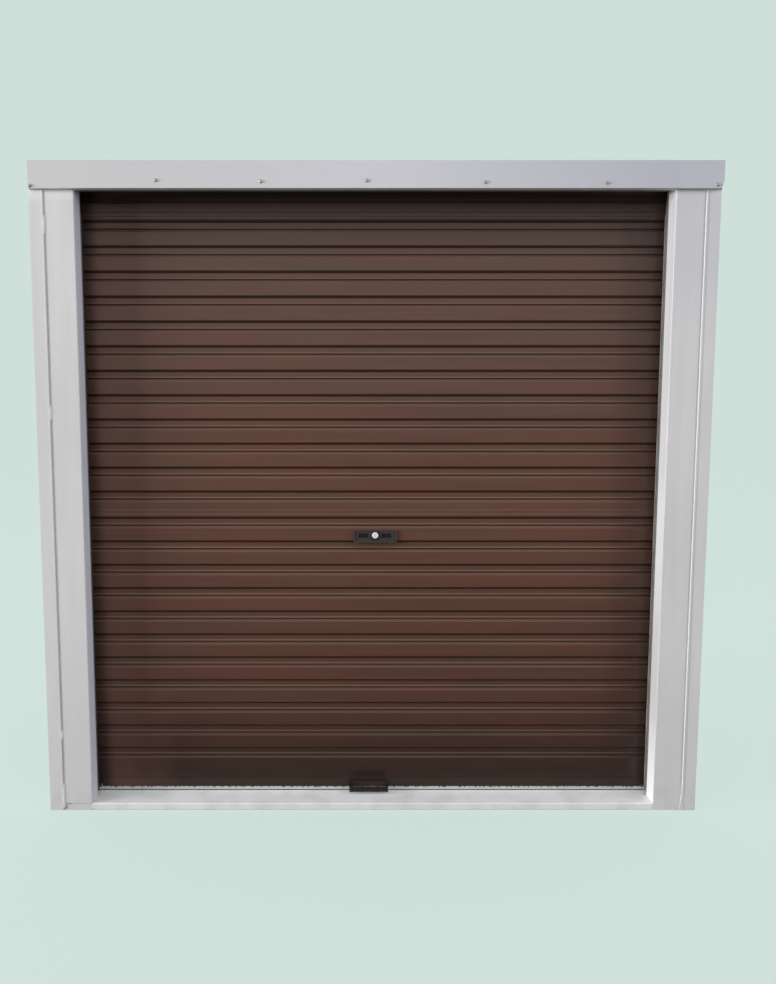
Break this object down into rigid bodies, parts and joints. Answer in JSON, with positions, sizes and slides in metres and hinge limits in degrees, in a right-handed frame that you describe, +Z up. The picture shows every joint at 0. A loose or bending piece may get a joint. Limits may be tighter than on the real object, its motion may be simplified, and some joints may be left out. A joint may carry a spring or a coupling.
{
  "type": "roller garage door",
  "caption": "Closed roller garage door: a ribbed brown steel curtain in a white folded-steel frame, wound above on a fixed axle, with a central key lock that draws flat bolts.",
  "frame": {"origin": "on the floor, at the centre of the sill's underside", "axes": "+X to the right seen from outside, +Y from outside into the building, +Z up"},
  "size_m": [2.276, 0.3647, 2.2809],
  "materials": {
    "white_paint": "semi-gloss",
    "brown_coat": "gloss",
    "galvanised": "dull galvanised",
    "nylon": "satin",
    "aluminium": "mill",
    "black_rubber": "matt",
    "black_plastic": "satin",
    "chrome": "polished",
    "zinc_plate": "zinc plated",
    "spring_steel": "oiled"
  },
  "bodies": {
    "frame": {"sill": "white_paint", "left_jamb": "white_paint", "right_jamb": "white_paint", "left_corner_strip": "white_paint", "right_corner_strip": "white_paint", "left_post": "galvanised", "right_post": "galvanised", "lintel": "galvanised", "header_flashing": "white_paint", "left_guide": "galvanised", "right_guide": "galvanised", "left_guide_liner": "nylon", "right_guide_liner": "nylon", "lower_curtain": "brown_coat", "middle_curtain": "brown_coat", "upper_curtain": "brown_coat", "bottom_rail": "brown_coat", "seal_carrier": "aluminium", "weather_seal": "black_rubber", "lift_handle": "black_plastic", "lock_plate": "black_plastic", "lock_case": "zinc_plate", "left_bolt_strap": "zinc_plate", "right_bolt_strap": "zinc_plate", "axle": "galvanised", "left_drum_wheel": "nylon", "middle_drum_wheel": "nylon", "right_drum_wheel": "nylon", "left_spring": "spring_steel", "right_spring": "spring_steel", "left_spring_collar": "zinc_plate", "right_spring_collar": "zinc_plate", "left_bracket": "galvanised", "right_bracket": "galvanised", "left_axle_clamp": "galvanised", "right_axle_clamp": "galvanised"},
    "lock_spindle": {"lock_barrel": "chrome", "lock_crank": "zinc_plate", "inside_knob": "black_plastic"},
    "left_lock_bolt": {"left_lock_bolt": "zinc_plate"},
    "right_lock_bolt": {"right_lock_bolt": "zinc_plate"}
  },
  "joints": [
    {"name": "right_bolt_slide", "type": "slide", "parent": "frame", "child": "right_lock_bolt", "axis": [1, 0, 0], "range_m": [-0.0226, 0]},
    {"name": "left_bolt_slide", "type": "slide", "parent": "frame", "child": "left_lock_bolt", "axis": [1, 0, 0], "range_m": [0, 0.0226]},
    {"name": "lock_turn", "type": "hinge", "parent": "frame", "child": "lock_spindle", "pos_m": [0.009, 0, 0.966], "axis": [0, -1, 0], "range_deg": [0, 90]}
  ],
  "couplings": [
    {"joint": "left_bolt_slide", "follows": "right_bolt_slide", "ratio": -1},
    {"joint": "lock_turn", "follows": "right_bolt_slide", "rad_per_m": -69.42}
  ]
}
